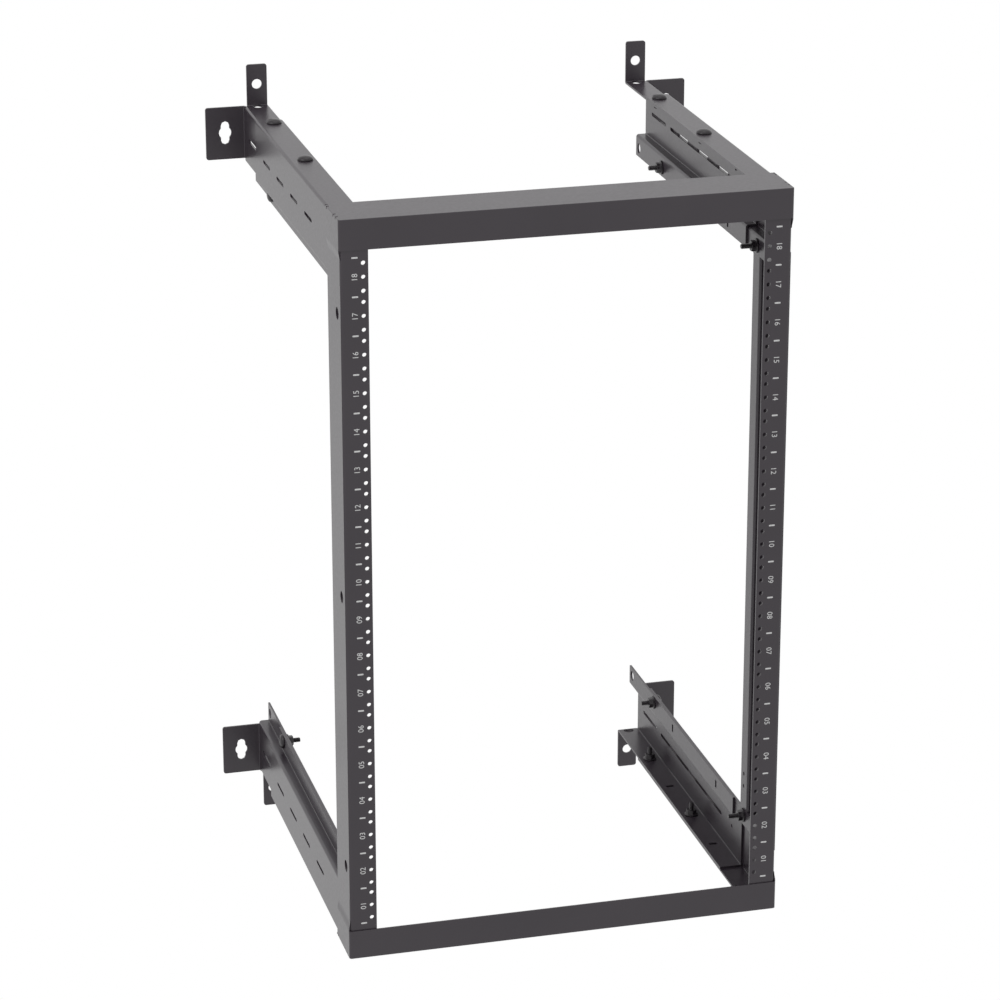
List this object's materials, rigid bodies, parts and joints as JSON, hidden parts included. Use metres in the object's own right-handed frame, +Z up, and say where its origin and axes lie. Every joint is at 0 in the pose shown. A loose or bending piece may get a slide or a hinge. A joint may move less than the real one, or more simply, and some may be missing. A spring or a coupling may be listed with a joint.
{
  "type": "wall mount rack",
  "caption": "Open frame rack of folded black steel sheet that hangs on a wall, with punched posts, slotted arms, cross bars and brackets that set its depth.",
  "frame": {"origin": "on the back of the upper left bracket's wall flange, between its keyhole and its fold, at the height of the keyhole", "axes": "+X across to the right seen from the front, +Y back into the wall, +Z up"},
  "size_m": [0.6074, 0.5477, 0.9811],
  "materials": {
    "powder_coat": "satin"
  },
  "bodies": {
    "root": {"left_side_frame": "powder_coat", "right_side_frame": "powder_coat", "top_bar": "powder_coat", "bottom_bar": "powder_coat", "upper_left_bracket": "powder_coat", "upper_right_bracket": "powder_coat", "lower_left_bracket": "powder_coat", "lower_right_bracket": "powder_coat"}
  },
  "joints": []
}
